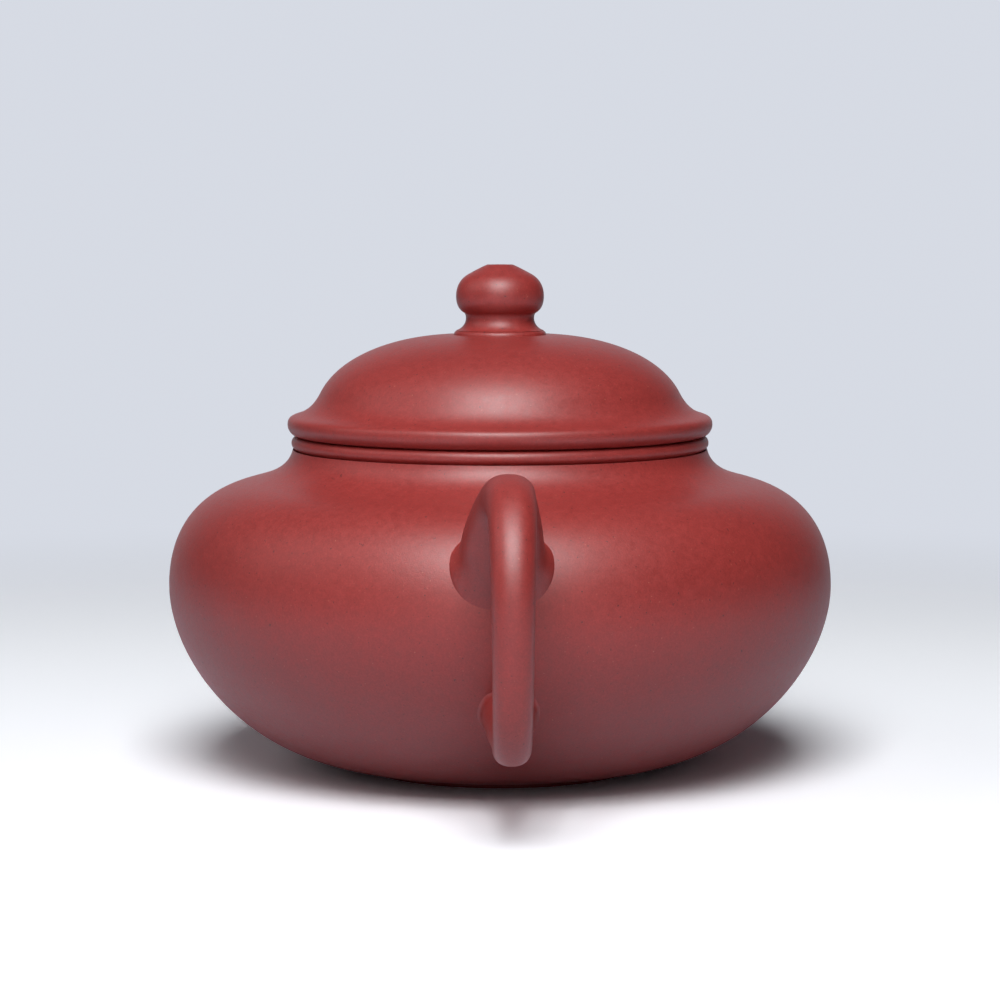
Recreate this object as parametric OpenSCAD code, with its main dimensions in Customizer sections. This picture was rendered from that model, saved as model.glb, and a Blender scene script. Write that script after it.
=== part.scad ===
// Round teapot of unglazed stoneware, built by hand from slabs and strips of clay that are
// luted edge to edge, with a cap lid, a knob, an ear-shaped handle and a curved spout.
// Z is up. The origin is on the pot's axis, at the plane that the foot ring stands on.
// The spout points along +X and the handle along -X.

/* [Body] */
// Width of the belly at its widest
belly_d = 105; // [96:0.5:114]
// Height of the widest part of the belly
belly_z = 29.3; // [27:0.1:32]
// Thickness of the body clay
wall = 3; // [2.4:0.1:3.6]
// Width of the base
base_d = 56; // [50:0.5:62]
// Width of the foot ring, which stands in under the base
foot_d = 45; // [42:0.5:49]
// Height of the foot ring
foot_h = 1.7; // [1.2:0.1:2.6]
// Width of the clay in the foot ring
foot_w = 3.8; // [3:0.1:5]
// Width across the shoulder where its curve turns up to the neck
shoulder_d = 82.6; // [79:0.1:86]
// Height of that turn
shoulder_z = 45.3; // [43:0.1:47]

/* [Neck and mouth] */
// Width of the neck at its top
neck_d = 65.7; // [62:0.1:70]
// Height of the top of the neck
neck_z = 50.6; // [49:0.1:53]
// Height of the beaded mouth ring
bead_h = 2.1; // [1.6:0.1:3]
// How far the bead stands out from the neck
bead_proud = 0.2; // [0.1:0.05:0.5]

/* [Lid] */
// Gap all round between the lid's flange and the mouth
lid_play = 0.4; // [0.3:0.05:0.8]
// How far the lid's edge reaches out past the neck
lip_over = 0.8; // [0.4:0.05:1.6]
// Thickness of the lid's seat plate
plate_h = 1.85; // [1.4:0.05:2.6]
// Depth of the flange that drops into the mouth
flange_h = 7; // [5:0.1:10]
// Thickness of the flange
flange_t = 2.4; // [1.8:0.1:3]
// Height of the dome over the seat plate
dome_h = 14.1; // [12:0.1:17]
// Thickness of the dome
dome_t = 2.6; // [2:0.1:3.2]
// Width across the dome where its flared edge turns into the crown
turn_d = 56.9; // [54:0.1:59]
// Height of that turn over the seat plate
turn_h = 4.95; // [4:0.05:6]
// Width of the vent hole through knob and dome
vent_d = 1.8; // [1.4:0.1:2.4]

/* [Knob] */
// Width of the ring that the knob sits on
ring_d = 14.6; // [13.6:0.1:17]
// Height of that ring
ring_h = 0.7; // [0.5:0.05:1.2]
// Width of the knob
knob_d = 13.9; // [12:0.1:16]
// Height of the knob over its ring
knob_h = 10.35; // [9:0.05:12]
// Width of the knob's waist
waist_d = 10.8; // [9:0.1:11.6]
// Width of the flat on top of the knob
flat_d = 4.6; // [3.6:0.1:5.6]

/* [Handle] */
// How far the handle's middle line reaches out from the belly
handle_reach = 23.5; // [20:0.5:30]
// Width of the handle at its top
handle_w = 7.3; // [6:0.1:9]
// Width of the handle at its foot
handle_w_low = 5.5; // [5:0.1:7]
// Thickness of the handle at its top
handle_t = 6.2; // [5:0.1:7]
// Thickness of the handle at its foot
handle_t_low = 5.2; // [4.6:0.1:6]
// Height of the handle's middle line at its top
handle_top_z = 48.8; // [46:0.1:51]
// Height of the handle's middle line at its lowest
handle_low_z = 14.1; // [13:0.1:18]
// Height of the upper root on the belly
root_up_z = 37.5; // [35:0.1:39]
// Height of the lower root on the belly
root_low_z = 15.8; // [14:0.1:18]
// Width of the upper root
root_up_w = 14.6; // [12:0.1:17]
// Width of the lower root
root_low_w = 10.4; // [9:0.1:13]

/* [Spout] */
// How far the tip's middle reaches out from the belly
spout_reach = 23.5; // [20:0.5:28]
// Height of the tip over the mouth of the pot
spout_rise = 0.3; // [0:0.1:2]
// Height of the root's middle on the belly
spout_z = 28; // [26:0.1:30]
// Width of the root
spout_root_d = 26.5; // [24:0.5:28]
// Width of the spout at its bend
spout_bend_d = 14.8; // [13.6:0.1:16]
// Width of the tip
spout_tip_d = 9.8; // [9:0.1:11]
// Thickness of the clay at the root
spout_wall = 3; // [2.4:0.1:3.4]
// Thickness of the clay at the tip
tip_wall = 1.8; // [1.5:0.1:2.1]

/* [Strainer] */
// Width of the hole from the pot into the spout
outlet_d = 15.6; // [14:0.1:17]
// Thickness of the strainer dome
strainer_t = 1.6; // [1.2:0.1:2]
// Width of each hole in the strainer
pore_d = 2.2; // [1.6:0.1:2.4]

/* [Hidden] */
$fn = 96;

clay = [0.63, 0.29, 0.27];
clay_dark = [0.55, 0.24, 0.23];

// --- curves -----------------------------------------------------------------------------
// A span is [start, direction, pull, end, direction, pull]: directions in degrees, and
// pulls as shares of the distance between the ends.
function heading(a) = [cos(a), sin(a)];
function span_legs(s) = norm(s[3] - s[0]) * [s[2], s[5]];
function span_in(s) = s[0] + span_legs(s)[0] * heading(s[1]);
function span_out(s) = s[3] - span_legs(s)[1] * heading(s[4]);
function span_at(s, u) =
    pow(1 - u, 3) * s[0] + 3 * pow(1 - u, 2) * u * span_in(s)
    + 3 * (1 - u) * u * u * span_out(s) + pow(u, 3) * s[3];
function span_dir(s, u) =
    let (v = pow(1 - u, 2) * (span_in(s) - s[0]) + 2 * (1 - u) * u * (span_out(s) - span_in(s))
        + u * u * (s[3] - span_out(s)))
    v / norm(v);
// A curve is a list of spans, walked by t from 0 to the number of spans.
function leg(c, t) = min(floor(t), len(c) - 1);
function curve_at(c, t) = span_at(c[leg(c, t)], t - leg(c, t));
function curve_dir(c, t) = span_dir(c[leg(c, t)], t - leg(c, t));
function turned(v) = [v[1], -v[0]];
function offset_at(c, t, d) = curve_at(c, t) - d * turned(curve_dir(c, t));
function points(c, i0, i1, n) = [for (i = [i0 : i1]) curve_at(c, i / n)];
function inset(c, i0, i1, n, d) = [for (i = [i1 : -1 : i0]) offset_at(c, i / n, d)];
function arc(centre, r, a0, a1, n) =
    [for (i = [0 : n]) centre + r * heading(a0 + (a1 - a0) * i / n)];
function ease(u) = u * u * (3 - 2 * u);
function clip(u) = max(0, min(1, u));

// --- body outline, from the edge of the base up to the top of the neck ------------------
belly_r = belly_d / 2;
base_r = base_d / 2;
neck_r = neck_d / 2;
base_angle = 12.7;
shoulder_angle = 163.5;
neck_angle = 103.6;
BODY = [
    [[base_r, foot_h], base_angle, 0.41, [belly_r, belly_z], 90, 0.29],
    [[belly_r, belly_z], 90, 0.446, [shoulder_d / 2, shoulder_z], shoulder_angle, 0.36],
    [[shoulder_d / 2, shoulder_z], shoulder_angle, 0.35, [neck_r, neck_z], neck_angle, 0.38]
];
// Steps in each span, and the steps at which the slab, the top disc and the neck meet
n_body = 12;
n_to_shoulder = 19;
n_to_neck = 29;
n_to_top = 36;
function body_r_at(z) =
    lookup(z, [for (i = [0 : n_to_top]) let (p = curve_at(BODY, i / n_body)) [p[1], p[0]]]);
base_in = offset_at(BODY, 0, wall);
mouth_in = offset_at(BODY, len(BODY), wall);
mouth_r = mouth_in[0];
seat_z = neck_z + bead_h;

// The body as one full round, out to the outer face or only to the inner face
module full_body() {
    rotate_extrude()
        polygon(concat([[0, foot_h]], points(BODY, 0, n_to_top, n_body), [[0, neck_z]]));
}

module inside_body() {
    rotate_extrude()
        polygon(concat([[0, mouth_in[1]]], inset(BODY, 0, n_to_top, n_body, wall),
            [[0, base_in[1]]]));
}

module body_band(i0, i1) {
    rotate_extrude()
        polygon(concat(points(BODY, i0, i1, n_body), inset(BODY, i0, i1, n_body, wall)));
}

foot_r = foot_d / 2;
foot_in = foot_r - foot_w;
foot_edge = 0.5;

module foot_ring() {
    color(clay_dark)
        rotate_extrude()
            polygon([[foot_in, foot_h], [foot_in, foot_edge], [foot_in + foot_edge, 0],
                [foot_r - foot_edge, 0], [foot_r, foot_edge], [foot_r, foot_h]]);
}

module base_disc() {
    color(clay_dark)
        rotate_extrude()
            polygon([[0, foot_h], [base_r, foot_h], base_in, [0, base_in[1]]]);
}

module body_wall() {
    color(clay)
        difference() {
            body_band(0, n_to_shoulder);
            at_outlet()
                cylinder(d = outlet_d, h = 4 * wall, center = true);
        }
}

module shoulder_disc() {
    color(clay)
        body_band(n_to_shoulder, n_to_neck);
}

module neck_ring() {
    color(clay)
        body_band(n_to_neck, n_to_top);
}

bead_round = 0.7;
// The bead's lower round starts at this angle, close in on the neck
bead_from_angle = -70;

module mouth_ring() {
    bead_r = neck_r + bead_proud;
    edge_r = bead_r - bead_round;
    color(clay)
        rotate_extrude()
            polygon(concat([mouth_in, [neck_r, neck_z]],
                arc([edge_r, neck_z + bead_round], bead_round, bead_from_angle, 0, 4),
                arc([edge_r, seat_z - bead_round], bead_round, 0, 90, 5),
                [[mouth_r, seat_z]]));
}

// --- lid --------------------------------------------------------------------------------
lip_r = neck_r + lip_over;
lip_z = seat_z + plate_h;
crown_z = lip_z + dome_h;
flange_r = mouth_r - lid_play;
flange_in = flange_r - flange_t;
ring_r = ring_d / 2;
turn_angle = 117.1;
DOME = [
    [[lip_r, lip_z], 90, 0.335, [turn_d / 2, lip_z + turn_h], turn_angle, 0.736],
    [[turn_d / 2, lip_z + turn_h], turn_angle, 0.305, [ring_r, crown_z], 180, 0.36]
];
n_dome = 12;

module lid_dome() {
    color(clay)
        rotate_extrude()
            polygon(concat(points(DOME, 0, 2 * n_dome, n_dome),
                [[vent_d / 2, crown_z], [vent_d / 2, crown_z - dome_t]],
                inset(DOME, n_dome, 2 * n_dome, n_dome, dome_t),
                [[flange_in, lip_z]]));
}

module lid_seat_plate() {
    color(clay)
        rotate_extrude()
            polygon(concat([[flange_in, lip_z], [flange_in, seat_z]],
                arc([lip_r - plate_h, lip_z], plate_h, -90, 0, 6)));
}

flange_edge = 0.6;

module lid_flange() {
    color(clay)
        rotate_extrude()
            polygon([[flange_in, seat_z], [flange_in, seat_z - flange_h + flange_edge],
                [flange_in + flange_edge, seat_z - flange_h],
                [flange_r - flange_edge, seat_z - flange_h],
                [flange_r, seat_z - flange_h + flange_edge], [flange_r, seat_z]]);
}

module knob_seat() {
    color(clay)
        rotate_extrude()
            polygon(concat([[vent_d / 2, crown_z]],
                arc([ring_r - ring_h / 2, crown_z + ring_h / 2], ring_h / 2, -90, 90, 6),
                [[vent_d / 2, crown_z + ring_h]]));
}

// Heights on the knob, over its ring
knob_z = crown_z + ring_h;
waist_z = 1.9;
crease_z = 2.7;
widest_z = 5.4;
slope_end_z = 8.85;
// How far its foot stands in from the ring, and how far the crease over the waist stands out
knob_foot_in = 0.4;
crease_out = 0.2;
// Where the slope to the flat top ends, as a share of the knob's half width
slope_end_share = 0.72;
KNOB = [
    [[ring_r - knob_foot_in, knob_z], 165, 0.3, [waist_d / 2, knob_z + waist_z], 90, 0.4],
    [[waist_d / 2, knob_z + waist_z], 90, 0.5,
        [waist_d / 2 + crease_out, knob_z + crease_z], 60, 0.3],
    [[waist_d / 2 + crease_out, knob_z + crease_z], 30, 0.3,
        [knob_d / 2, knob_z + widest_z], 90, 0.5],
    [[knob_d / 2, knob_z + widest_z], 90, 0.45,
        [slope_end_share * knob_d / 2, knob_z + slope_end_z], 151, 0.3]
];
n_knob = 6;

module knob() {
    color(clay)
        rotate_extrude()
            polygon(concat([[vent_d / 2, knob_z]], points(KNOB, 0, 4 * n_knob, n_knob),
                [[flat_d / 2, knob_z + knob_h], [vent_d / 2, knob_z + knob_h]]));
}

// --- swept pieces, in the plane of handle and spout -------------------------------------
// One ring of a sweep: a round-cornered section, half_w wide across the plane and half_t in
// it, set square to a path that passes p in direction v. A power of 2 makes it an ellipse.
function bulged(c, power) = sign(c) * pow(abs(c), 2 / power);
function ring_at(p, v, half_w, half_t, power, n) =
    [for (k = [0 : n - 1])
        let (a = 360 * k / n, q = half_t * bulged(cos(a), power) * turned(v))
        [p[0] + q[0], half_w * bulged(sin(a), power), p[1] + q[1]]];
// Triangles between the rings of n points that start at points i and j
function band(i, j, n) =
    [for (k = [0 : n - 1]) each
        [[i + k, j + k, i + (k + 1) % n], [i + (k + 1) % n, j + k, j + (k + 1) % n]]];
function flipped(faces) = [for (f = faces) [f[2], f[1], f[0]]];

// --- handle -----------------------------------------------------------------------------
// The path starts and ends this far inside the belly, where it is cut off, and by then it has
// come down under the upper root, or up over the lower one, by this much
sink = 5;
root_up_dip = 4;
root_low_lift = 1;
// How far out from the belly the top and the underside stand, and the height of the outer side
handle_top_out = 9.5;
handle_under_out = 13;
handle_side_z = 34.5;
HANDLE = [
    [[body_r_at(root_up_z) - sink, root_up_z - root_up_dip], 38, 0.35,
        [belly_r + handle_top_out, handle_top_z], 0, 0.35],
    [[belly_r + handle_top_out, handle_top_z], 0, 0.39,
        [belly_r + handle_reach, handle_side_z], -90, 0.39],
    [[belly_r + handle_reach, handle_side_z], -90, 0.4,
        [belly_r + handle_under_out, handle_low_z], -180, 0.36],
    [[belly_r + handle_under_out, handle_low_z], -180, 0.35,
        [body_r_at(root_low_z) - sink, root_low_z + root_low_lift], -188, 0.3]
];
n_side = 16;
n_handle = 11;
handle_power = 2.3;
// Each root spreads between these two shares of a span from the path's end
root_from = 0.2;
root_until = 0.95;
function root_share(t) = 1 - ease(clip((t - root_from) / (root_until - root_from)));
function handle_size(t, top, low, root_up, root_low) =
    let (mid = low + (top - low) * pow(1 - clip((t - 1) / 2), 2))
    (mid + (root_up - mid) * root_share(t) + (root_low - mid) * root_share(len(HANDLE) - t)) / 2;
function handle_ring(t) =
    ring_at(curve_at(HANDLE, t), curve_dir(HANDLE, t),
        handle_size(t, handle_w, handle_w_low, root_up_w, root_low_w),
        handle_size(t, handle_t, handle_t_low, root_up_w, root_low_w), handle_power, n_side);

module handle() {
    last = len(HANDLE) * n_handle;
    color(clay)
        mirror([1, 0, 0])
            difference() {
                polyhedron(points = [for (i = [0 : last]) each handle_ring(i / n_handle)],
                    faces = concat([[for (k = [0 : n_side - 1]) k]],
                        [for (i = [0 : last - 1]) each band(i * n_side, (i + 1) * n_side, n_side)],
                        [[for (k = [n_side - 1 : -1 : 0]) last * n_side + k]]));
                full_body();
            }
}

// --- spout ------------------------------------------------------------------------------
tip_z = seat_z + spout_rise;
spout_angle = 8;
bend_angle = 56;
tip_angle = 44;
// How far the tube runs on, straight, into the belly and past the plane that levels the tip
spare = 10;
// How far the path lies under the root's middle where it starts, inside the belly, and how far
// out from the belly and up from the root's middle the bend lies
spout_dip = 2.5;
bend_out = 11.5;
bend_up = 9;
SPOUT = [
    [[belly_r - sink, spout_z - spout_dip], spout_angle, 0.42,
        [belly_r + bend_out, spout_z + bend_up], bend_angle, 0.38],
    [[belly_r + bend_out, spout_z + bend_up], bend_angle, 0.36,
        [belly_r + spout_reach, tip_z], tip_angle, 0.36]
];
n_round = 20;
n_spout = 9;
// The spout tapers in one sweep from root to tip, through its width at the bend
taper = ln((spout_root_d - spout_tip_d) / (spout_bend_d - spout_tip_d)) / ln(2);
function spout_half(t) =
    (spout_tip_d + (spout_root_d - spout_tip_d) * pow(1 - clip(t / 2), taper)) / 2;
// A ring of the spout, at t on its path and moved on by a straight run, pared by share of wall
function spout_ring(t, run, pared) =
    let (h = spout_half(t) - pared * (spout_wall + (tip_wall - spout_wall) * t / 2))
    ring_at(curve_at(SPOUT, t) + run * curve_dir(SPOUT, t), curve_dir(SPOUT, t),
        h, h, 2, n_round);
function spout_rings(pared) =
    concat(spout_ring(0, -spare, pared),
        [for (i = [0 : 2 * n_spout]) each spout_ring(i / n_spout, 0, pared)],
        spout_ring(2, spare, pared));

module spout() {
    last = 2 * n_spout + 2;
    inner = (last + 1) * n_round;
    skin = [for (i = [0 : last - 1]) each band(i * n_round, (i + 1) * n_round, n_round)];
    bore = [for (f = flipped(skin)) f + inner * [1, 1, 1]];
    color(clay)
        difference() {
            polyhedron(points = concat(spout_rings(0), spout_rings(1)),
                faces = concat(skin, bore, band(inner, 0, n_round),
                    band(last * n_round, inner + last * n_round, n_round)));
            full_body();
            translate([belly_r, -spout_root_d, tip_z])
                cube([2 * spout_reach, 2 * spout_root_d, 2 * spout_reach]);
        }
}

// --- strainer ---------------------------------------------------------------------------
// The hole into the spout is bored square to the wall. Seen from there, up is into the pot.
module at_outlet() {
    translate([belly_r - wall, 0, spout_z])
        rotate([0, -90, 0])
            children();
}

// Pores stand in rings round the middle one: each entry is [angle from the axis, count]
PORES = [[0, 1], [28, 6], [56, 12]];

module strainer() {
    ball_r = outlet_d / 2 + strainer_t;
    color(clay_dark)
        difference() {
            intersection() {
                at_outlet()
                    difference() {
                        sphere(r = ball_r);
                        sphere(d = outlet_d);
                    }
                inside_body();
            }
            at_outlet()
                for (ring = PORES, k = [0 : ring[1] - 1])
                    rotate([0, ring[0], 360 * k / ring[1]])
                        translate([0, 0, outlet_d / 4])
                            cylinder(d = pore_d, h = ball_r);
        }
}

foot_ring();
base_disc();
body_wall();
shoulder_disc();
neck_ring();
mouth_ring();
strainer();
spout();
handle();
lid_dome();
lid_seat_plate();
lid_flange();
knob_seat();
knob();
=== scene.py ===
# %% [markdown]
# # A round teapot of unglazed red stoneware
#
# This lesson dresses a small hand-built teapot in Blender. The pot is beaten from slabs of
# clay, closed with discs, and given a neck, a mouth, a spout and a handle that are each luted
# on with slip. Its looks rest on three things: fair curves, thin crisp lines where two pieces
# meet, and a burnished clay that is neither shiny nor dull. We build each piece as its own
# mesh, in metres, in the frame of the construction model, and let each one stand for its node.

# %% Start from the construction model
from math import pi, radians, sin, cos, atan2
import bpy
import numpy as np
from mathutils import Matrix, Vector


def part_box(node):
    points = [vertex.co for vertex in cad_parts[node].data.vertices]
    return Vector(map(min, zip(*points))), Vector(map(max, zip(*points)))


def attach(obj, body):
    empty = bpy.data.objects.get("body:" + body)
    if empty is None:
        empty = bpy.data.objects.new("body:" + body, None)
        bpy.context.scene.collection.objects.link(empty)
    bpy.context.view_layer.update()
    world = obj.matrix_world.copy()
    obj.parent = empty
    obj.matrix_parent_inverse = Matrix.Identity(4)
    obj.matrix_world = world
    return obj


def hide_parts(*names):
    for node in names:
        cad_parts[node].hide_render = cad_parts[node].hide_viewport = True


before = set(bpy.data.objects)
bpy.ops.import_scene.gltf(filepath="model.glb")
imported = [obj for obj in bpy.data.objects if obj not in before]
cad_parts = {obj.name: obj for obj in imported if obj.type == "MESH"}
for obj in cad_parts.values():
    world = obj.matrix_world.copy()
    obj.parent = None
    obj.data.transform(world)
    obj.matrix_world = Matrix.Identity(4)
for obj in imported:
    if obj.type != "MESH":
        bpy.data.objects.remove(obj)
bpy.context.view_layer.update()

# %% [markdown]
# ## Curves a potter would draw
#
# The body, the lid and the knob are all turned forms, so each is one outline swept round the
# axis. A potter cuts such an outline into a wooden rib. We draw it with a few Bezier spans:
# each span leaves its first point in one direction and arrives at its last point in another,
# with a pull given as a share of the distance between them. A few well placed points give a
# fairer curve than many.

# %% Spans and curves
MM = 0.001


def heading(degrees):
    """A unit direction in the plane of the outline."""
    return np.array([cos(radians(degrees)), sin(radians(degrees))])


def span_points(span):
    """The four control points of [start, direction, pull, end, direction, pull]."""
    start, end = np.array(span[0], float), np.array(span[3], float)
    length = np.linalg.norm(end - start)
    return (start, start + span[2] * length * heading(span[1]),
            end - span[5] * length * heading(span[4]), end)


def bezier(a, b, c, d, u):
    """The point at u, from 0 to 1, on the curve with these four control points."""
    return (1 - u) ** 3 * a + 3 * (1 - u) ** 2 * u * b + 3 * (1 - u) * u * u * c + u ** 3 * d


def curve_at(curve, t):
    """The point at t, which runs from 0 to the number of spans."""
    leg = min(int(t), len(curve) - 1)
    return bezier(*span_points(curve[leg]), t - leg)


def curve_dir(curve, t):
    """The unit direction of travel at t."""
    leg = min(int(t), len(curve) - 1)
    u = t - leg
    a, b, c, d = span_points(curve[leg])
    v = (1 - u) ** 2 * (b - a) + 2 * (1 - u) * u * (c - b) + u * u * (d - c)
    return v / np.linalg.norm(v)


def turned(v):
    """The direction a quarter turn to the right, which points out of a piece."""
    return np.array([v[1], -v[0]])


def along(curve, start, end, steps, inset=0.0):
    """Points on a curve between two values of t, moved in from the surface."""
    return [curve_at(curve, t) - inset * turned(curve_dir(curve, t))
            for t in np.linspace(start, end, steps + 1)]


def arc(centre, radius, first, last, steps=6):
    """Points on an arc, with its angles in degrees."""
    return [np.array(centre, float) + radius * heading(a)
            for a in np.linspace(first, last, steps + 1)]


# %% [markdown]
# ## The outline of the body
#
# The belly is a low, full curve: it leaves the base almost flat, stands upright at its widest,
# and turns in over the shoulder before it sweeps up into the neck. The sizes are those of the
# construction model, so we take the main ones from the frame and repeat only the shape. Later
# pieces have to land on the belly, so we also keep its radius and its outward normal at hand.

# %% Body outline
foot_ring_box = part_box("foot_ring")
mouth_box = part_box("mouth_ring")
belly_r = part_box("body_wall")[1].y
foot_r = foot_ring_box[1].x
foot_h = foot_ring_box[1].z
base_r = 56 * MM / 2
neck_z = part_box("neck_ring")[1].z
seat_z = mouth_box[1].z
wall = 3 * MM
belly_z = 29.3 * MM
shoulder = (41.3 * MM, 45.3 * MM)
bead_proud = 0.2 * MM
neck_r = mouth_box[1].x - bead_proud
base_angle, shoulder_angle, neck_angle = 12.7, 163.5, 103.6
OUTLINE_STEPS = 900

BODY = [
    [(base_r, foot_h), base_angle, 0.41, (belly_r, belly_z), 90, 0.29],
    [(belly_r, belly_z), 90, 0.446, shoulder, shoulder_angle, 0.36],
    [shoulder, shoulder_angle, 0.35, (neck_r, neck_z), neck_angle, 0.38],
]
outline = np.array(along(BODY, 0, 3, OUTLINE_STEPS))
outline_dirs = np.array([curve_dir(BODY, t) for t in np.linspace(0, 3, OUTLINE_STEPS + 1)])
print("belly %.1f mm wide, mouth at %.1f mm" % (2 * belly_r / MM, seat_z / MM))


def body_r(z):
    """Radius of the outer face at a height."""
    return np.interp(z, outline[:, 1], outline[:, 0])


def normal_at(point):
    """Outward normal of the body at the height and on the side of a point in space."""
    v = np.array([np.interp(point[2], outline[:, 1], outline_dirs[:, k]) for k in (0, 1)])
    n = turned(v / np.linalg.norm(v))
    r = np.hypot(point[0], point[1])
    return np.array([n[0] * point[0] / r, n[0] * point[1] / r, n[1]])


# %% [markdown]
# ## Turning an outline into a mesh
#
# Real turned pieces could be made with a Screw modifier, but a small function of our own lets
# us close each piece exactly and control its shading. Two luted pieces should look like one
# fired surface, so where they meet we give both meshes the same normals, taken from the curve
# itself and not from their own last row of faces.

# %% Lathe
ROUND = 180
SHARP = radians(28)
SAME_SPOT = 0.002 * MM
ON_AXIS = 1e-7


def soften(piece):
    """Smooth shading that keeps the sharp edges."""
    mesh = piece.data
    mesh.polygons.foreach_set("use_smooth", [True] * len(mesh.polygons))
    mesh.set_sharp_from_angle(angle=SHARP)
    mesh.update()


def new_piece(name, points, faces):
    """A mesh object from points and faces, smooth but for its sharp edges."""
    mesh = bpy.data.meshes.new(name)
    mesh.from_pydata([tuple(p) for p in points], [], faces)
    mesh.validate()
    piece = bpy.data.objects.new(name, mesh)
    bpy.context.scene.collection.objects.link(piece)
    soften(piece)
    return piece


def lathe(name, profile, count=ROUND):
    """Sweep a closed profile of (radius, height) points round the axis, walked
    anticlockwise so that its faces look outward."""
    clean = [profile[0]]
    for p in profile[1:]:
        if np.linalg.norm(np.array(p) - clean[-1]) > SAME_SPOT:
            clean.append(p)
    if np.linalg.norm(np.array(clean[0]) - clean[-1]) < SAME_SPOT:
        clean.pop()
    points, rows, faces = [], [], []
    for r, z in clean:
        n = 1 if r < ON_AXIS else count
        rows.append(list(range(len(points), len(points) + n)))
        points += [(r * cos(2 * pi * k / count), r * sin(2 * pi * k / count), z)
                   for k in range(n)]
    for low, high in zip(rows, rows[1:] + rows[:1]):
        for k in range(count):
            quad = [low[k % len(low)], low[(k + 1) % len(low)],
                    high[(k + 1) % len(high)], high[k % len(high)]]
            face = [v for i, v in enumerate(quad) if v != quad[i - 1]]
            if len(face) > 2:
                faces.append(face)
    return new_piece(name, points, faces)


# %% [markdown]
# ## The foot and the floor
#
# The foot is a strip of clay set in under the base, where it stands in the dark and lets the
# belly float. It is rounded on both edges by a wet finger. The floor is a plain disc. The wall
# will stand on its edge, which is cut square to the surface, as slabs are bevelled before they
# are luted.

# %% Base and foot
base_in = along(BODY, 0, 0, 1, wall)[0]
foot_w = 3.8 * MM
foot_soft = 0.6 * MM

foot = lathe("turned_foot", [(foot_r - foot_w, foot_h)]
    + arc((foot_r - foot_w + foot_soft, foot_soft), foot_soft, 180, 270)
    + arc((foot_r - foot_soft, foot_soft), foot_soft, 270, 360)
    + [(foot_r, foot_h)])
floor_disc = lathe("floor_disc", [(0, foot_h), (foot_r, foot_h), (base_r, foot_h),
                                  base_in, (0, base_in[1])])

# %% [markdown]
# ## The wall, with its outlet
#
# The wall is a slab beaten round from inside, the shoulder a disc that closes it, and the neck
# a strip. All three are turned from the one outline, so the fired surface runs on without a
# step, and they share its normals at the seams. Before the spout goes on, the potter bores a
# round outlet through the wall. We turn the wall as a closed ring first and then cut the outlet
# with a Boolean modifier, because a bored hole has to follow the curve of the wall on both
# faces.

# %% Wall, shoulder and neck
SEAM_SHOULDER, SEAM_NECK = 19 / 12, 29 / 12
ON_FACE, ALIKE = 0.03 * MM, 0.9
outlet_r = 15.6 * MM / 2
outlet_z = 28 * MM


def band(name, start, end, outer_steps, inner_steps):
    """A ring of the body between two seams."""
    return lathe(name, along(BODY, start, end, outer_steps)
                 + along(BODY, end, start, inner_steps, wall))


def bore(piece, radius, centre, length):
    """Cut a round hole along X through a piece."""
    bpy.ops.mesh.primitive_cylinder_add(vertices=96, radius=radius, depth=length,
                                        location=centre, rotation=(0, pi / 2, 0))
    drill = bpy.context.object
    cut = piece.modifiers.new("bore", "BOOLEAN")
    cut.operation, cut.object, cut.solver = "DIFFERENCE", drill, "EXACT"
    bpy.context.view_layer.update()
    done = bpy.data.meshes.new_from_object(piece.evaluated_get(
        bpy.context.evaluated_depsgraph_get()))
    piece.modifiers.clear()
    piece.data = done
    bpy.data.objects.remove(drill)
    soften(piece)


def fair_normals(piece):
    """Give the corners that lie on the body's outer face its own exact normals."""
    mesh = piece.data
    corner = np.zeros(len(mesh.loops) * 3, np.float32)
    mesh.corner_normals.foreach_get("vector", corner)
    corner = corner.reshape(-1, 3)
    spots = np.array([v.co for v in mesh.vertices])
    radius = np.hypot(spots[:, 0], spots[:, 1])
    on_face = np.abs(radius - body_r(spots[:, 2])) < ON_FACE
    on_face &= spots[:, 2] < neck_z + ON_FACE
    for face in mesh.polygons:
        for loop in face.loop_indices:
            v = mesh.loops[loop].vertex_index
            if not on_face[v]:
                continue
            exact = normal_at(spots[v])
            if corner[loop] @ exact > ALIKE:
                corner[loop] = exact
    mesh.normals_split_custom_set(corner.tolist())


belly = band("belly", 0, SEAM_SHOULDER, 84, 44)
bore(belly, outlet_r, (belly_r - wall / 2, 0, outlet_z), 5 * wall)
shoulder_top = band("shoulder", SEAM_SHOULDER, SEAM_NECK, 28, 16)
neck = band("neck", SEAM_NECK, 3, 24, 14)
for piece in (belly, shoulder_top, neck):
    fair_normals(piece)
print("wall, shoulder and neck, with an outlet of %.1f mm" % (2 * outlet_r / MM))

# %% [markdown]
# ## The beaded mouth
#
# The mouth ring is a half-round bead with a fine incised line under it. The line is only a few
# tenths of a millimetre deep, yet its shadow draws the mouth, so it is cut in the mesh and not
# painted. The inner edge is softened where the lid slides in.

# %% Mouth ring
mouth_in = along(BODY, 3, 3, 1, wall)[0]
mouth_r = mouth_in[0]
bead_r = neck_r + bead_proud
bead_round, bead_top = 0.85 * MM, 1.05 * MM
bead_from, bead_to = -62, 86
line_depth, line_h = 0.45 * MM, 0.12 * MM
mouth_soft = 0.35 * MM
mouth = lathe("mouth_bead", [mouth_in, (neck_r - line_depth, neck_z)]
    + arc((bead_r - bead_round, neck_z + bead_round + line_h), bead_round, bead_from, 0, 8)
    + arc((bead_r - bead_top, seat_z - bead_top), bead_top, 0, bead_to, 10)
    + arc((mouth_r + mouth_soft, seat_z - mouth_soft), mouth_soft, 90, 180, 5))
print("mouth %.1f mm wide inside, bead %.1f mm" % (2 * mouth_r / MM, 2 * bead_r / MM))

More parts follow.
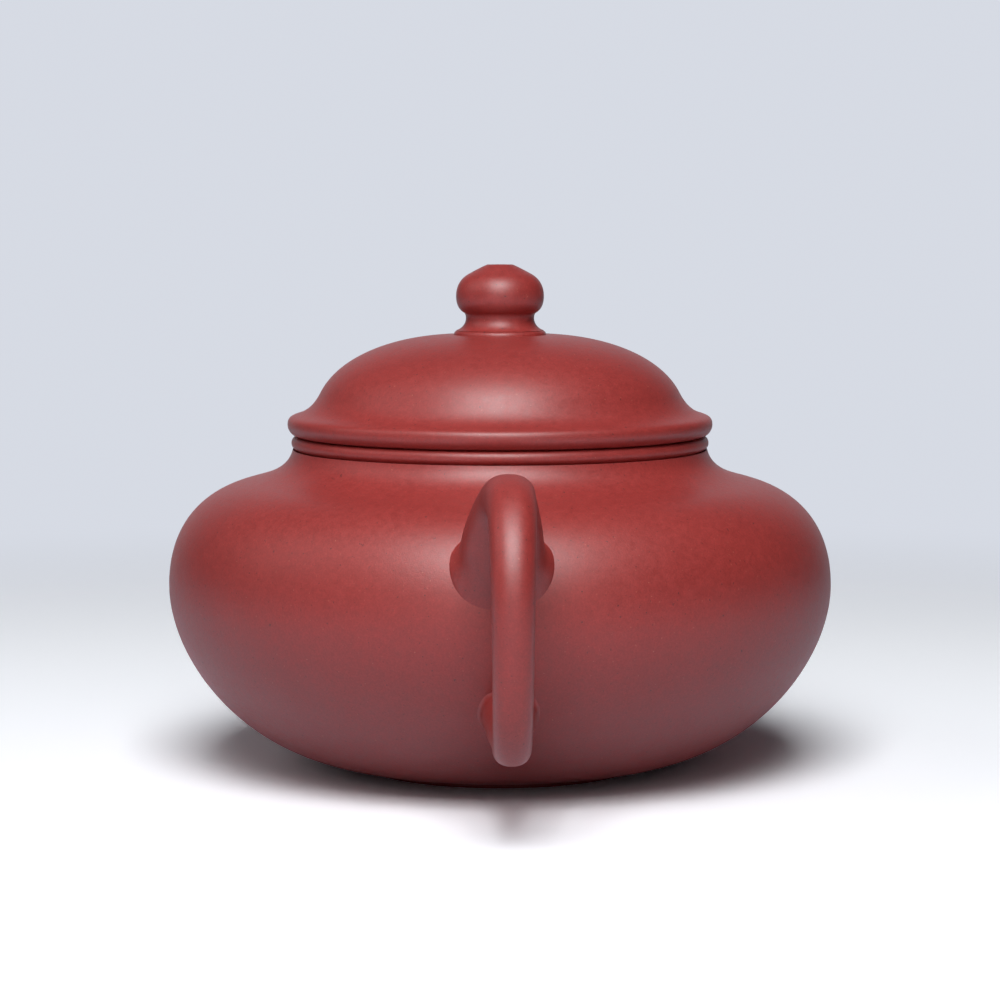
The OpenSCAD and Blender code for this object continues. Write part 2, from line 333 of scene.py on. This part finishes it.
# %% [markdown]
# ## The cap lid
#
# A cap lid is three pieces of clay: a domed disc with a flared edge, a flat ring under it that
# sits on the mouth, and a flange that drops inside and keeps it centred. The edge of the dome
# and the edge of the ring meet in one round lip. The underside rises a little on its way out to
# the lip, so that lid and mouth touch only near the inside and a dark line shows between them.

# %% Lid
dome_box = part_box("lid_dome")
lip_r, lip_z, crown_z = dome_box[1].x, dome_box[0].z, dome_box[1].z
flare, flare_angle = (28.45 * MM, lip_z + 4.95 * MM), 117.1
dome_t = 2.6 * MM
vent_r = 0.9 * MM
ring_r = 7.3 * MM
play, flange_t = 0.4 * MM, 2.4 * MM
flange_r = mouth_r - play
flange_in = flange_r - flange_t
plate_h = lip_z - seat_z
lip_free, lip_from = 0.3 * MM, -55
sits_to = bead_r - bead_top - lip_free

DOME = [
    [(lip_r, lip_z), 90, 0.335, flare, flare_angle, 0.736],
    [flare, flare_angle, 0.305, (ring_r, crown_z), 180, 0.36],
]
lid_crown = lathe("lid_crown", along(DOME, 0, 2, 120)
    + [(vent_r, crown_z), (vent_r, crown_z - dome_t)]
    + along(DOME, 2, 1, 40, dome_t) + [(flange_in, lip_z)])
lid_seat = lathe("lid_seat", [(flange_in, lip_z), (flange_in, seat_z), (sits_to, seat_z)]
    + arc((lip_r - plate_h, lip_z), plate_h, lip_from, 0, 12))

flange_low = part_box("lid_flange")[0].z
flange_soft = 0.6 * MM
flange = lathe("flange", [(flange_in, seat_z)]
    + arc((flange_in + flange_soft, flange_low + flange_soft), flange_soft, 180, 270)
    + arc((flange_r - flange_soft, flange_low + flange_soft), flange_soft, 270, 360)
    + [(flange_r, seat_z)])
print("lid %.1f mm wide, flange %.1f mm deep" % (2 * lip_r / MM, (seat_z - flange_low) / MM))

# %% [markdown]
# ## The knob
#
# The knob is a flattened bead on a short waist, with a low cone on top and a small flat where
# the vent comes out. It stands on a thin ring with a quarter-round edge. The ring runs down on
# to the lid without a gap, and only the line between ring and knob is left crisp.

# %% Knob and its ring
ring_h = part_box("knob_seat")[1].z - crown_z
knob_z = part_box("knob")[0].z
knob_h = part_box("knob")[1].z - knob_z
knob_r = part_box("knob")[1].x
KNOB_ROUND = 120
knob_foot = (ring_r - 0.4 * MM, knob_z)
waist_low = (5.4 * MM, knob_z + 1.9 * MM)
waist_high = (5.6 * MM, knob_z + 2.7 * MM)
widest = (knob_r, knob_z + 5.4 * MM)
cone_foot = (0.72 * knob_r, knob_z + 8.85 * MM)
flat_edge = (2.05 * MM, knob_z + knob_h)
vent_soft = 0.3 * MM
KNOB = [
    [knob_foot, 165, 0.3, waist_low, 90, 0.4],
    [waist_low, 90, 0.5, waist_high, 60, 0.3],
    [waist_high, 30, 0.3, widest, 90, 0.5],
    [widest, 90, 0.45, cone_foot, 151, 0.3],
    [cone_foot, 151, 0.4, flat_edge, 157, 0.3],
]
knob_ring = lathe("knob_ring", [(vent_r, crown_z)]
    + arc((ring_r - ring_h, crown_z), ring_h, 0, 90, 12)
    + [(vent_r, crown_z + ring_h)], KNOB_ROUND)
bead_knob = lathe("bead_knob", [(vent_r, knob_z)] + along(KNOB, 0, 5, 90)
    + arc((vent_r + vent_soft, knob_z + knob_h - vent_soft), vent_soft, 90, 180, 5),
    KNOB_ROUND)
print("knob %.1f mm wide, %.1f mm high" % (2 * knob_r / MM, knob_h / MM))

# %% [markdown]
# ## Rolling clay along a path
#
# Handle and spout are rolled from clay and bent. We sweep rings of points along a path that lies
# in the plane through the pot's axis. A ring is an ellipse whose power can be raised above two,
# which makes its corners fuller, as fingers leave them.

# %% Sections on a path
def clamp01(u):
    """A number held between 0 and 1."""
    return min(1.0, max(0.0, u))


def ease(u):
    """A smooth step from 0 to 1."""
    u = np.clip(u, 0.0, 1.0)
    return u * u * (3 - 2 * u)


def in_plane(v):
    """A direction in the outline's plane, as a direction in space."""
    return np.array([v[0], 0.0, v[1]])


def bulged(c, power):
    """A cosine or sine made fuller, so that a section gets rounder corners or flatter sides."""
    return np.sign(c) * abs(c) ** (2 / power)


def ring_at(point, travel, half_w, half_t, power, count):
    """A section set square to the path, in the plane y = 0."""
    side = turned(travel)
    rows = []
    for a in np.linspace(0, 2 * pi, count, endpoint=False):
        q = half_t * bulged(cos(a), power) * side
        rows.append((point[0] + q[0], half_w * bulged(sin(a), power), point[1] + q[1]))
    return np.array(rows)


def skin_faces(rows, count):
    """The faces between rings that lie one after the other in a list of points."""
    return [[i * count + k, i * count + (k + 1) % count,
             (i + 1) * count + (k + 1) % count, (i + 1) * count + k]
            for i in range(rows - 1) for k in range(count)]


# %% [markdown]
# ## Finding the belly
#
# A rolled piece ends on the belly, which is curved both ways. Rather than cut one mesh with the
# other, we ask where the belly is: how far a point stands off it, where a straight line meets
# it, and which point of it is nearest.

# %% Where the belly is
REACH = 30 * MM
STEP = 0.01


def outside(point):
    """How far a point lies outside the belly, roughly."""
    return np.hypot(point[0], point[1]) - body_r(point[2])


def drop_to_belly(point):
    """The nearest point on the belly, by a few steps along its normal."""
    for _ in range(6):
        n = normal_at(point)
        square = (n[0] * point[0] + n[1] * point[1]) / np.hypot(point[0], point[1])
        point = point - outside(point) * square * n
    return point


def reach_belly(point, travel):
    """Where a straight line from the point meets the belly."""
    near, far = 0.0, REACH
    for _ in range(40):
        mid = (near + far) / 2
        near, far = (mid, far) if outside(point + mid * travel) > 0 else (near, mid)
    return point + near * travel


def last_clear(section, start, step, gap):
    """Walk towards the belly while a whole section still stands clear of it."""
    t = start
    while min(outside(p) for p in section(t + step)) > gap:
        t += step
    return t


# %% [markdown]
# ## Luting the handle and the spout to the belly
#
# What shows the quality of a handle or a spout is its root, where the clay is thumbed down until
# it runs into the belly. We stop the rings just short of the belly and carry each point on by a
# short Bezier curve that lands flat on the belly a little further out. That gives a true fillet
# all round. Its edge is sunk a little into the belly, because two meshes that lie exactly in
# each other flicker. Where a root was thickened with a pad of clay, the curve swells at the
# sides and comes down steeply.

# %% Fillet at the belly
SUNK = 0.15 * MM
FILLET_STEPS = 16
LEAVE_PULL, LAND_PULL = 0.6, 0.85
PAD_PULL = 0.1
PAD_FROM, PAD_OVER = 0.6, 0.8


def flattened(v, n):
    """The unit direction that is left of v along a face with the normal n."""
    v = v - (v @ n) * n
    return v / np.linalg.norm(v)


def fillet_rings(ring, before, travel, spread, pad=0.0):
    """Rings that carry a section on to the belly, in the direction in which the ring before it
    was heading. They run out flat on the belly, or as far as a pad height is given they swell
    at the sides and come down on it steeply."""
    centre = reach_belly(ring.mean(axis=0), travel)
    angles = np.linspace(0, 2 * pi, len(ring), endpoint=False)
    aside = np.sin(angles) ** 2 * ease((np.cos(angles) + PAD_FROM) / PAD_OVER) * (pad > 0)
    curves = []
    for p, q, steep in zip(ring, before, aside):
        lead = (p - q) / np.linalg.norm(p - q)
        foot_spot = reach_belly(p, travel)
        out = flattened(foot_spot - centre, normal_at(foot_spot))
        land = drop_to_belly(foot_spot + spread * out)
        n = normal_at(land)
        flat = flattened(out, n)
        land = land - SUNK * n
        drop = np.linalg.norm(foot_spot - p)
        curves.append((p, p + lead * drop * (LEAVE_PULL - PAD_PULL * steep),
                       land - flat * spread * LAND_PULL * (1 - steep) + n * pad * steep, land))
    rows = [np.array([bezier(*curve, u) for curve in curves])
            for u in np.linspace(0, 1, FILLET_STEPS + 1)[1:]]
    tuck = np.array([p - SUNK * normal_at(p) for p in rows[-1]])
    return rows + [tuck]


# %% [markdown]
# ## The handle
#
# Seen from the side the handle is an ear: it springs from the shoulder, turns over at the
# height of the mouth, hangs almost straight and comes back low on the belly. It is widest
# where it turns over and gets slimmer on its way down. Both ends widen into the roots, the
# upper one has a small pad of clay at its sides, and the whole leans a little, as a handle set
# on by eye does.

# %% Path and thickness of the handle
sink = 5 * MM
root_up_z, root_low_z = 37.5 * MM, 15.8 * MM
spring_up = (body_r(root_up_z) - sink, root_up_z - 4 * MM)
spring_low = (body_r(root_low_z) - sink, root_low_z + 1 * MM)
handle_top = (belly_r + 9.5 * MM, 48.8 * MM)
handle_far = (belly_r + 23.5 * MM, 34.5 * MM)
handle_under = (belly_r + 13 * MM, 14.1 * MM)
HANDLE = [
    [spring_up, 38, 0.35, handle_top, 0, 0.35],
    [handle_top, 0, 0.39, handle_far, -90, 0.39],
    [handle_far, -90, 0.4, handle_under, -180, 0.36],
    [handle_under, -180, 0.35, spring_low, -188, 0.3],
]
HANDLE_SIDES, HANDLE_RINGS, HANDLE_POWER = 56, 150, 2.3
# Widths and thicknesses: at the top, low down, at the upper root, at the lower root.
HANDLE_W = [7.3 * MM, 5.5 * MM, 12.2 * MM, 7.6 * MM]
HANDLE_T = [6.2 * MM, 5.2 * MM, 10.2 * MM, 7.2 * MM]
ROOT_HOLDS, ROOT_FADES_UP, ROOT_FADES_LOW = 0.3, 0.7, 0.65
lean_up, lean_low, LEAN_FADES = 0.95 * MM, -0.3 * MM, 1.4


def handle_half(t, sizes):
    """Half a width or thickness: slimmer on the way down, wider into both roots."""
    top, low, root_up, root_low = sizes
    middle = low + (top - low) * (1 - clamp01((t - 1) / 2)) ** 2
    up = 1 - ease((t - ROOT_HOLDS) / ROOT_FADES_UP)
    down = 1 - ease((4 - t - ROOT_HOLDS) / ROOT_FADES_LOW)
    return (middle + (root_up - middle) * up + (root_low - middle) * down) / 2


def handle_section(t):
    """One section of the handle, with its lean."""
    ring = ring_at(curve_at(HANDLE, t), curve_dir(HANDLE, t), handle_half(t, HANDLE_W),
                   handle_half(t, HANDLE_T), HANDLE_POWER, HANDLE_SIDES)
    ring[:, 1] += lean_up + (lean_low - lean_up) * ease(t / LEAN_FADES)
    return ring


# %% [markdown]
# We walk from the middle of the handle towards each end until a section would touch the belly,
# sweep the rings between, and add a root at either end. The handle lies on the side away from
# the spout, so the finished points are mirrored in X.

# %% Handle
up_clear, up_spread, up_pad = 1.1 * MM, 1.6 * MM, 0.7 * MM
low_clear, low_spread = 0.9 * MM, 1.4 * MM
start = last_clear(handle_section, 1.0, -STEP, up_clear)
end = last_clear(handle_section, 3.0, STEP, low_clear)
body_rings = [handle_section(t) for t in np.linspace(start, end, HANDLE_RINGS)]
up_root = fillet_rings(body_rings[0], body_rings[1], -in_plane(curve_dir(HANDLE, start)),
                       up_spread, pad=up_pad)
low_root = fillet_rings(body_rings[-1], body_rings[-2], in_plane(curve_dir(HANDLE, end)),
                        low_spread)
rings = up_root[::-1] + body_rings + low_root
count = HANDLE_SIDES
caps = [list(range(count))[::-1],
        [(len(rings) - 1) * count + k for k in range(count)]]
ear_handle = new_piece("ear_handle", np.vstack(rings) * np.array([-1, 1, 1]),
                       caps + skin_faces(len(rings), count))
print("handle from t = %.2f to %.2f" % (start, end))

# %% [markdown]
# ## The spout
#
# The spout is a hollow cone of clay with two bends. It leaves the belly broad and low, rises,
# and turns out again at the tip, which is cut level with the mouth of the pot so that tea does
# not run out before the pot is full. The taper is chosen so that the width is right at the root,
# at the bend and at the tip.

# %% Path and thickness of the spout
spout_reach, tip_z = 23.5 * MM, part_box("spout")[1].z
spout_angle, bend_angle, tip_angle = 8, 56, 44
bend = (belly_r + 11.5 * MM, outlet_z + 9 * MM)
SPOUT = [
    [(belly_r - sink, outlet_z - 2.5 * MM), spout_angle, 0.42, bend, bend_angle, 0.38],
    [bend, bend_angle, 0.36, (belly_r + spout_reach, tip_z), tip_angle, 0.36],
]
SPOUT_SIDES = 64
spout_root_d, spout_bend_d, spout_tip_d = 24.5 * MM, 14.6 * MM, 9.8 * MM
taper = np.log((spout_root_d - spout_tip_d) / (spout_bend_d - spout_tip_d)) / np.log(2)
spout_wall, tip_wall = 3 * MM, 1.8 * MM
LEVEL_FROM, LEVEL_OVER, LEVEL_POWER = 1.35, 0.65, 1.5


def spout_half(t):
    """Half the spout's width: one sweep of taper from root to tip, through the bend."""
    return (spout_tip_d + (spout_root_d - spout_tip_d) * (1 - clamp01(t / 2)) ** taper) / 2


def spout_ring(t, pared):
    """A ring of the skin, or of the bore when the wall's thickness is pared off."""
    half = spout_half(t) - pared * (spout_wall + (tip_wall - spout_wall) * t / 2)
    return ring_at(curve_at(SPOUT, t), curve_dir(SPOUT, t), half, half, 2, SPOUT_SIDES)


def levelled(ring, height):
    """Slide the points of a ring along the spout until they lie at one height."""
    travel = in_plane(heading(tip_angle))
    return np.array([p + travel * (height - p[2]) / travel[2] for p in ring])


def toward_tip(pared, start, steps):
    """Rings from t = start to the tip, the last of them turned level by degrees."""
    rows = []
    for t in np.linspace(start, 2, steps):
        ring = spout_ring(t, pared)
        share = clamp01((t - LEVEL_FROM) / LEVEL_OVER) ** LEVEL_POWER
        level = levelled(ring, ring[:, 2].mean())
        rows.append(ring + (level - ring) * share)
    return rows


# %% [markdown]
# The spout is one closed skin: up the outside from the root, over a round lip, and down the
# bore to the wall, where it starts round the outlet. The rounding of the lip is taken off the
# top of the skin, so that the tip keeps its height.

# %% Spout
lip_round = np.array([0, 0, tip_wall * 0.42])
LIP_BLEND = 6
SKIN_RINGS, BORE_RINGS, LIP_RINGS = 90, 60, 8
spout_clear, spout_spread = 1.6 * MM, 3.0 * MM
bore_start, bore_clear, bore_reach = 0.34, 0.2 * MM, 6 * MM
outward = in_plane(heading(0))


def lip_rings(outer, inner, steps):
    """A round lip from the outer rim over to the inner rim."""
    middle, half = (outer + inner) / 2, (outer - inner) / 2
    return [middle + half * cos(a) + lip_round * sin(a)
            for a in np.linspace(0, pi, steps + 2)[1:-1]]


spout_start = last_clear(lambda t: spout_ring(t, 0), 1.0, -STEP, spout_clear)
skin = [ring - lip_round * share for ring, share in
        zip(toward_tip(0, spout_start, SKIN_RINGS), np.linspace(0, 1, SKIN_RINGS) ** LIP_BLEND)]
root = fillet_rings(skin[0], skin[1], -in_plane(curve_dir(SPOUT, spout_start)), spout_spread)
bore_rows = toward_tip(1, bore_start, BORE_RINGS)
bore_rows[-1] = bore_rows[-1] - lip_round
bore_foot = np.array([reach_belly(p + outward * bore_reach, -outward) for p in bore_rows[0]])
inner = [bore_foot] + [r for r in bore_rows if min(outside(p) for p in r) > bore_clear]
rings = root[::-1] + skin + lip_rings(skin[-1], inner[-1], LIP_RINGS) + inner[::-1]
count = SPOUT_SIDES
faces = skin_faces(len(rings), count)
last = (len(rings) - 1) * count
faces += [[last + k, last + (k + 1) % count, (k + 1) % count, k] for k in range(count)]
bent_spout = new_piece("bent_spout", np.vstack(rings), [f[::-1] for f in faces])
print("spout starts at t = %.2f, %d rings" % (spout_start, len(rings)))

# %% [markdown]
# ## Each piece stands for its node
#
# The construction model has a node for every piece of clay. A finer mesh takes the node's
# place and moves with the same body, so that the lid's pieces rise together. The strainer, a
# half ball pierced with pores, is already right in the construction model: it stays and only
# gets the clay's finish further down.

# %% Every piece takes the place of its node
STANDS_FOR = {
    "foot_ring": (foot, "pot"), "base_disc": (floor_disc, "pot"), "body_wall": (belly, "pot"),
    "shoulder_disc": (shoulder_top, "pot"), "neck_ring": (neck, "pot"),
    "mouth_ring": (mouth, "pot"), "spout": (bent_spout, "pot"), "handle": (ear_handle, "pot"),
    "lid_dome": (lid_crown, "lid"), "lid_seat_plate": (lid_seat, "lid"),
    "lid_flange": (flange, "lid"), "knob_seat": (knob_ring, "lid"), "knob": (bead_knob, "lid"),
}


def stands_for(piece, node, body):
    """The piece takes the place of its node and moves with its body."""
    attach(piece, body)
    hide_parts(node)
    print(piece.name, "faces:", len(piece.data.polygons))


for node_name, (piece, body) in STANDS_FOR.items():
    stands_for(piece, node_name, body)

# %% [markdown]
# ## A few helpers for materials
#
# A material in Blender is a small graph of nodes. Written out in full it is long and hard to
# read, so these helpers each add one node, set it and link it.

# %% Helpers for shader nodes
def node(tree, kind, **values):
    """Add a shader node and set its inputs and settings by name."""
    made = tree.nodes.new(kind)
    for key, value in values.items():
        label = key.replace("_", " ")
        if label in made.inputs:
            made.inputs[label].default_value = value
        else:
            setattr(made, key, value)
    return made


def feed(tree, socket, value):
    """Give an input a number or colour, or link it to another node's output."""
    if isinstance(value, bpy.types.NodeSocket):
        tree.links.new(value, socket)
    else:
        socket.default_value = value


def noise(tree, place, per_metre, detail, rough):
    """A noise texture in the piece's own coordinates, with its grain per metre."""
    made = node(tree, "ShaderNodeTexNoise", Scale=per_metre, Detail=detail, Roughness=rough)
    tree.links.new(place.outputs["Object"], made.inputs["Vector"])
    return made.outputs["Fac"]


def ramp(tree, source, stops):
    """A colour ramp from [(position, colour)], fed by a grey value."""
    made = tree.nodes.new("ShaderNodeValToRGB")
    band_of = made.color_ramp
    while len(band_of.elements) < len(stops):
        band_of.elements.new(0.5)
    for element, (place, colour) in zip(band_of.elements, stops):
        element.position, element.color = place, colour
    tree.links.new(source, made.inputs["Fac"])
    return made.outputs["Color"]


def blend_in(tree, kind, share, under, over):
    """Mix a colour over another; the share may be a number or a socket."""
    made = tree.nodes.new("ShaderNodeMix")
    made.data_type, made.blend_type = "RGBA", kind
    for socket, value in zip((made.inputs[0], made.inputs[6], made.inputs[7]),
                             (share, under, over)):
        feed(tree, socket, value)
    return made.outputs[2]


def maths(tree, operation, *values):
    """A maths node; each input is a number or a socket."""
    made = node(tree, "ShaderNodeMath", operation=operation)
    for socket, value in zip(made.inputs, values):
        feed(tree, socket, value)
    return made.outputs[0]


def grey(v):
    """A grey of one value."""
    return (v, v, v, 1.0)


# %% [markdown]
# ## Fired clay
#
# This clay gets its looks from its grain. The potter burnishes the surface until the fine
# particles lie flat and carry a broad, milky highlight, while coarser grains stay as faint
# specks. So the material is a warm red with slow drifts of tone, a fine mottle, a few pale and
# dark specks, a low grain in the bump and a roughness near one half. Everything is procedural
# and reads the piece's own coordinates, so it stays put when the lid is lifted. The foot, the
# floor and the strainer aren't burnished, so they get a duller and coarser finish of their own,
# and their red is made a little darker as painted shade for their place under and inside the
# pot.

# %% Clay material
# Grain sizes, as noise features per metre, and the tones of the specks.
DRIFT, MOTTLE, GRIT = 38, 900, 3300
PALE_SPECKS, DARK_SPECKS = 2600, 2100
BUMP_FINE, BUMP_LOW, BUMP_DEPTH = 5200, 1100, 0.00004
PALE_CLAY, DARK_CLAY = (0.47, 0.12, 0.08, 1), (0.13, 0.02, 0.018, 1)


def clay_colour(tree, place, mottle, base, warm):
    """Drifts of tone under a mottle, a grit and two kinds of specks."""
    drift = noise(tree, place, DRIFT, 2.0, 0.5)
    colour = ramp(tree, drift, [(0.35, (*base, 1)), (0.68, (*warm, 1))])
    mottled = ramp(tree, mottle, [(0.3, grey(0.86)), (0.7, grey(1.10))])
    colour = blend_in(tree, "MULTIPLY", 0.7, colour, mottled)
    grit = noise(tree, place, GRIT, 2.0, 0.6)
    gritty = ramp(tree, grit, [(0.3, grey(0.86)), (0.7, grey(1.12))])
    colour = blend_in(tree, "MULTIPLY", 1.0, colour, gritty)
    pale = noise(tree, place, PALE_SPECKS, 1.0, 0.4)
    pale_share = ramp(tree, pale, [(0.75, grey(0)), (0.82, grey(1))])
    colour = blend_in(tree, "MIX", pale_share, colour, PALE_CLAY)
    dark = noise(tree, place, DARK_SPECKS, 1.0, 0.4)
    dark_share = ramp(tree, dark, [(0.22, grey(1)), (0.27, grey(0))])
    return blend_in(tree, "MIX", dark_share, colour, DARK_CLAY)


def clay_finish(name, base, warm, roughness, grain):
    """Burnished stoneware: its colour, a roughness that follows the mottle, a fine grain."""
    made = bpy.data.materials.new(name)
    made.use_nodes = True
    tree = made.node_tree
    shader = tree.nodes["Principled BSDF"]
    place = tree.nodes.new("ShaderNodeTexCoord")
    mottle = noise(tree, place, MOTTLE, 4.0, 0.6)
    feed(tree, shader.inputs["Base Color"], clay_colour(tree, place, mottle, base, warm))
    feed(tree, shader.inputs["Roughness"],
         ramp(tree, mottle, [(0.2, grey(roughness - 0.05)), (0.8, grey(roughness + 0.06))]))
    fine = noise(tree, place, BUMP_FINE, 3.0, 0.6)
    low = noise(tree, place, BUMP_LOW, 2.0, 0.5)
    bump = node(tree, "ShaderNodeBump", Strength=grain, Distance=BUMP_DEPTH)
    feed(tree, bump.inputs["Height"], maths(tree, "MULTIPLY_ADD", low, 0.8, fine))
    feed(tree, shader.inputs["Normal"], bump.outputs["Normal"])
    shader.inputs["Specular IOR Level"].default_value = 0.88
    shader.inputs["IOR"].default_value = 1.5
    return made


burnished = clay_finish("burnished_red_clay",
                        (0.325, 0.0313, 0.0266), (0.36, 0.0366, 0.0307), 0.45, 0.5)
# The plain clay is rougher, as unburnished clay is. Its red is a little darker than the
# burnished red: painted shade for the foot, the floor and the strainer, under and inside the
# pot.
plain_clay_painted_shade = clay_finish("plain_red_clay_painted_shade",
                         (0.295, 0.031, 0.027), (0.33, 0.0366, 0.032), 0.64, 0.9)
for piece, _ in STANDS_FOR.values():
    piece.data.materials.clear()
    piece.data.materials.append(burnished)
for piece in (foot, floor_disc):
    piece.data.materials[0] = plain_clay_painted_shade
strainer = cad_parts["strainer"]
for spot in strainer.material_slots:
    spot.link = "OBJECT"
    spot.material = plain_clay_painted_shade
print("finishes:", [m.name for m in (burnished, plain_clay_painted_shade)])

# %% [markdown]
# ## A backdrop that only the eye sees
#
# A pot like this is shown on white paper before a cool grey backdrop. Pale surroundings would
# also wash the clay out, because they throw light on it from all sides. The Light Path node
# tells us what a ray is for. So the backdrop shows in camera rays, and in mirrored rays only
# where it really stands, behind the pot on the spout side. The rays that carry light meet a dim
# room, and the lamps alone shape the form.

# %% Light that only the eye sees
BACKDROP = (0.675, 0.705, 0.775, 1)


def eye_rays(tree, behind=1.0):
    """1 for camera rays, and for reflected and transmitted ones as far as the backdrop, which
    stands behind the pot, is there to be mirrored; 0 for the rays that carry light."""
    rays = tree.nodes.new("ShaderNodeLightPath")
    mirrored = maths(tree, "MAXIMUM", rays.outputs["Is Glossy Ray"],
                     rays.outputs["Is Transmission Ray"])
    return maths(tree, "MAXIMUM", rays.outputs["Is Camera Ray"],
                 maths(tree, "MULTIPLY", mirrored, behind))


def smooth_span(tree, value, low, high):
    """A smooth step of a value from 0 at low to 1 at high."""
    span = node(tree, "ShaderNodeMapRange", From_Min=low, From_Max=high)
    span.interpolation_type = "SMOOTHSTEP"
    tree.links.new(value, span.inputs["Value"])
    return span.outputs["Result"]


def behind_pot(tree, place):
    """1 toward the spout side, where the backdrop stands, falling to 0 at the sides."""
    unit = node(tree, "ShaderNodeVectorMath", operation="NORMALIZE")
    tree.links.new(place, unit.inputs[0])
    parts = tree.nodes.new("ShaderNodeSeparateXYZ")
    tree.links.new(unit.outputs[0], parts.inputs[0])
    return smooth_span(tree, parts.outputs["X"], 0.7, 1.0)


def mix_shaders(tree, share, first, second, target):
    """Mix two shaders and link the result to an output."""
    mixed = tree.nodes.new("ShaderNodeMixShader")
    tree.links.new(share, mixed.inputs[0])
    tree.links.new(first, mixed.inputs[1])
    tree.links.new(second, mixed.inputs[2])
    tree.links.new(mixed.outputs[0], target)


# %% [markdown]
# ## The table
#
# The table is a wide disc of white paper that drifts to the backdrop's colour further out, so
# that it runs into the background without an edge. It has three levels. Rays that carry light
# meet a much darker paper, so that it throws only a little light back under the belly. Mirrored
# rays meet the paper's own white. Camera rays see it lifted by WHITER until the lit part is
# white, while the pot's shadow stays on it.

# %% Table
TABLE_R = 6.0
NEAR, DISTANT = 0.13, 0.38
PAPER, PAPER_LOW = (0.90, 0.86, 0.97, 1), (0.88, 0.84, 0.955, 1)
UNSEEN_PAPER = (0.29, 0.285, 0.31, 1)
WHITER = (1.36, 1.45, 1.32, 1)
PAPER_FIBRE = 700

bpy.ops.mesh.primitive_circle_add(vertices=128, radius=TABLE_R, fill_type="NGON")
table_top = bpy.context.object
table_top.name = "table_top"


def table_finish():
    """White paper round the pot that drifts into the backdrop's colour further out."""
    made = bpy.data.materials.new("white_paper")
    made.use_nodes = True
    tree = made.node_tree
    shader = tree.nodes["Principled BSDF"]
    shader.inputs["Roughness"].default_value = 0.9
    shader.inputs["Specular IOR Level"].default_value = 0.1
    place = tree.nodes.new("ShaderNodeTexCoord")
    far_off = node(tree, "ShaderNodeVectorMath", operation="LENGTH")
    tree.links.new(place.outputs["Object"], far_off.inputs[0])
    drifted = smooth_span(tree, far_off.outputs["Value"], NEAR, DISTANT)
    paper = ramp(tree, noise(tree, place, PAPER_FIBRE, 4.0, 0.6),
                 [(0.3, PAPER_LOW), (0.7, PAPER)])
    seen = blend_in(tree, "MIX", eye_rays(tree), UNSEEN_PAPER, paper)
    rays = tree.nodes.new("ShaderNodeLightPath")
    feed(tree, shader.inputs["Base Color"],
         blend_in(tree, "MULTIPLY", rays.outputs["Is Camera Ray"], seen, WHITER))
    glow = node(tree, "ShaderNodeEmission", Color=BACKDROP)
    behind = behind_pot(tree, place.outputs["Object"])
    share = maths(tree, "MULTIPLY", drifted, eye_rays(tree, behind))
    mix_shaders(tree, share, shader.outputs[0], glow.outputs[0],
                tree.nodes["Material Output"].inputs["Surface"])
    return made


table_top.data.materials.append(table_finish())
print("table drifts to the backdrop from %.0f to %.0f mm" % (NEAR / MM, DISTANT / MM))

# %% [markdown]
# ## Room and lamps
#
# The room is almost dark, so four large soft lamps do the work. The key lamp stands high on the
# handle side and makes the milky highlight on shoulder and lid. A second one, higher still,
# widens it. A weak low lamp in front fills the belly, and a weak one at the side keeps the edge
# of the pot from going black.

# %% Room and lamps
ROOM_COLOUR, ROOM_LIGHT = (0.82, 0.89, 1.0, 1), 0.035
LAMP_AIM = (0, 0, 0.04)
LAMP_WHITE, SIDE_WHITE = (0.98, 0.985, 1.0), (0.97, 0.98, 1.0)

world = bpy.data.worlds.new("studio")
bpy.context.scene.world = world
world.use_nodes = True
tree = world.node_tree
room = tree.nodes["Background"]
room.inputs["Color"].default_value = ROOM_COLOUR
room.inputs["Strength"].default_value = ROOM_LIGHT
backdrop = node(tree, "ShaderNodeBackground", Color=BACKDROP, Strength=1.0)
sky = tree.nodes.new("ShaderNodeTexCoord")
share = eye_rays(tree, behind_pot(tree, sky.outputs["Generated"]))
mix_shaders(tree, share, room.outputs[0], backdrop.outputs[0],
            tree.nodes["World Output"].inputs["Surface"])


def soft_lamp(name, place, size, watts, colour):
    """A square lamp that looks at the middle of the pot."""
    data = bpy.data.lights.new(name, "AREA")
    data.shape, data.size, data.energy, data.color = "SQUARE", size, watts, colour
    lamp = bpy.data.objects.new(name, data)
    bpy.context.scene.collection.objects.link(lamp)
    way = np.array(LAMP_AIM, float) - np.array(place, float)
    lamp.location = place
    lamp.rotation_euler = (0, np.arccos(-way[2] / np.linalg.norm(way)),
                           atan2(way[1], way[0]) + pi)


soft_lamp("key", (-0.535, 0.040, 0.630), 0.42, 4.7, LAMP_WHITE)
soft_lamp("high", (-0.320, 0.020, 0.775), 0.42, 2.0, LAMP_WHITE)
soft_lamp("front", (-0.996, 0.05, 0.403), 0.60, 1.2, LAMP_WHITE)
soft_lamp("side", (-0.08, 0.865, 0.65), 0.70, 1.1, SIDE_WHITE)

# %% [markdown]
# ## The camera
#
# The camera stands half a metre from the pot's axis on the handle side, a little above the
# knob, with a longish lens, so that the rims show as shallow ellipses.

# %% Camera
CAMERA_FAR, CAMERA_HIGH = 0.500, 0.0907
CAMERA_DIP, CAMERA_TURN = 5.525, 1.15
view = bpy.data.cameras.new("view")
view.lens, view.sensor_width = 113.67, 36.0
camera = bpy.data.objects.new("view", view)
bpy.context.scene.collection.objects.link(camera)
camera.location = (-CAMERA_FAR * cos(radians(CAMERA_TURN)),
                   CAMERA_FAR * sin(radians(CAMERA_TURN)), CAMERA_HIGH)
camera.rotation_euler = (radians(90 - CAMERA_DIP), 0, radians(-90 - CAMERA_TURN))
view.clip_start, view.clip_end = 0.01, 50
bpy.context.scene.camera = camera
bpy.context.scene.view_settings.view_transform = "Standard"
print("camera %.0f mm away, %.0f mm up" % (CAMERA_FAR / MM, CAMERA_HIGH / MM))
